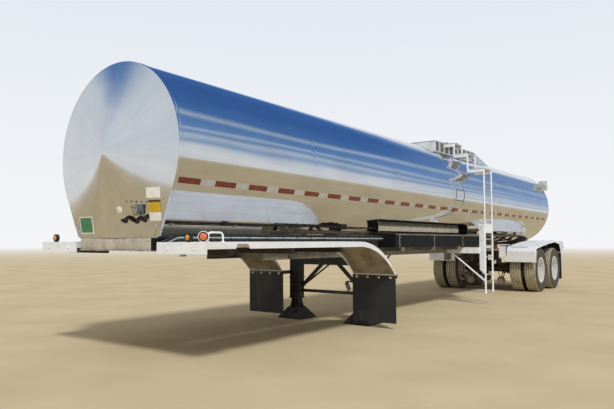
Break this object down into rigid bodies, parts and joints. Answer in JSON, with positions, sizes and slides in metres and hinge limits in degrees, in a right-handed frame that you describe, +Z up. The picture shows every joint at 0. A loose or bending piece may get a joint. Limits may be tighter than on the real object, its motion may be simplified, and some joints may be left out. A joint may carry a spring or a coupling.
{
  "type": "tank semi-trailer",
  "caption": "Polished stainless tank semi-trailer on twin-tyre tandem axles and landing legs, with top manway, side ladder, fenders and hose trays.",
  "frame": {"origin": "Ground plane under the middle of the whole outline, with the tyres and landing feet on z = 0", "axes": "+X forward towards the kingpin end, +Y the left side of the trailer, +Z up"},
  "size_m": [13.404, 2.59, 3.258],
  "materials": {
    "mirror_stainless": "mirror-polished stainless steel",
    "aluminium_sheet": "bright formed aluminium sheet",
    "frame_grey": "weathered grey frame paint",
    "black_paint": "semi-gloss black paint",
    "white_paint": "gloss white paint",
    "steel_bare": "bare and plated steel",
    "cast_steel": "rusty spring and casting steel",
    "flap_rubber": "matt black rubber sheet",
    "line_rubber": "rubber hose",
    "tyre_rubber": "dusty black tyre rubber",
    "wheel_aluminium": "pale forged aluminium",
    "red_lens": "moulded red lens",
    "amber_lens": "moulded amber lens",
    "conduit_grey": "pale grey-green plastic conduit",
    "blank_plate": "blank plates and stickers"
  },
  "bodies": {
    "trailer": {"air_lines": "line_rubber", "axles": "black_paint", "brake_chambers": "cast_steel", "frame_crossmembers": "frame_grey", "frame_rails": "frame_grey", "front_couplings": "steel_bare", "front_fender_arms": "frame_grey", "front_fenders": "aluminium_sheet", "front_flap_hangers": "black_paint", "front_head": "mirror_stainless", "front_marker_lamps": "amber_lens", "front_mudflaps": "flap_rubber", "front_plates": "blank_plate", "hose_tray_arms": "frame_grey", "hose_trays": "black_paint", "junction_box": "frame_grey", "kingpin": "steel_bare", "ladder": "white_paint", "ladder_outrigger": "white_paint", "lamp_guard": "white_paint", "landing_gear_beam": "black_paint", "landing_gear_braces": "black_paint", "landing_gear_crank": "black_paint", "landing_legs": "black_paint", "leaf_springs": "cast_steel", "line_clips": "steel_bare", "line_conduit": "conduit_grey", "manway_neck": "mirror_stainless", "outlet_cap": "steel_bare", "outlet_valve": "mirror_stainless", "rear_bumper": "white_paint", "rear_fender_arms": "frame_grey", "rear_fenders": "aluminium_sheet", "rear_head": "mirror_stainless", "rear_mudflaps": "flap_rubber", "rear_rim_boxes": "white_paint", "side_brackets": "white_paint", "side_lamps": "red_lens", "spill_dam": "aluminium_sheet", "spring_equalisers": "cast_steel", "step_treads": "aluminium_sheet", "suspension_subframe": "black_paint", "tail_lamp_housings": "aluminium_sheet", "tail_lamps": "red_lens", "tank_saddles": "frame_grey", "tank_shell": "mirror_stainless", "tank_vents": "steel_bare", "torque_rods": "black_paint", "upper_coupler": "frame_grey"},
    "manway_lid": {"manway_lid": "mirror_stainless", "manway_clamps": "steel_bare"},
    "wheel_front_left": {"tyres_front_left": "tyre_rubber", "wheel_front_left": "wheel_aluminium"},
    "wheel_front_right": {"tyres_front_right": "tyre_rubber", "wheel_front_right": "wheel_aluminium"},
    "wheel_rear_left": {"tyres_rear_left": "tyre_rubber", "wheel_rear_left": "wheel_aluminium"},
    "wheel_rear_right": {"tyres_rear_right": "tyre_rubber", "wheel_rear_right": "wheel_aluminium"}
  },
  "joints": [
    {"name": "wheel_front_left_spin", "type": "hinge", "parent": "trailer", "child": "wheel_front_left", "pos_m": [-4.435, 0.9575, 0.505], "axis": [0, 1, 0], "continuous": true},
    {"name": "wheel_front_right_spin", "type": "hinge", "parent": "trailer", "child": "wheel_front_right", "pos_m": [-4.435, -0.9575, 0.505], "axis": [0, 1, 0], "continuous": true},
    {"name": "wheel_rear_left_spin", "type": "hinge", "parent": "trailer", "child": "wheel_rear_left", "pos_m": [-5.68, 0.9575, 0.505], "axis": [0, 1, 0], "continuous": true},
    {"name": "wheel_rear_right_spin", "type": "hinge", "parent": "trailer", "child": "wheel_rear_right", "pos_m": [-5.68, -0.9575, 0.505], "axis": [0, 1, 0], "continuous": true},
    {"name": "manway_lid_hinge", "type": "hinge", "parent": "trailer", "child": "manway_lid", "pos_m": [-2.13, 0, 3.212], "axis": [0, -1, 0], "range_deg": [0, 110]}
  ]
}
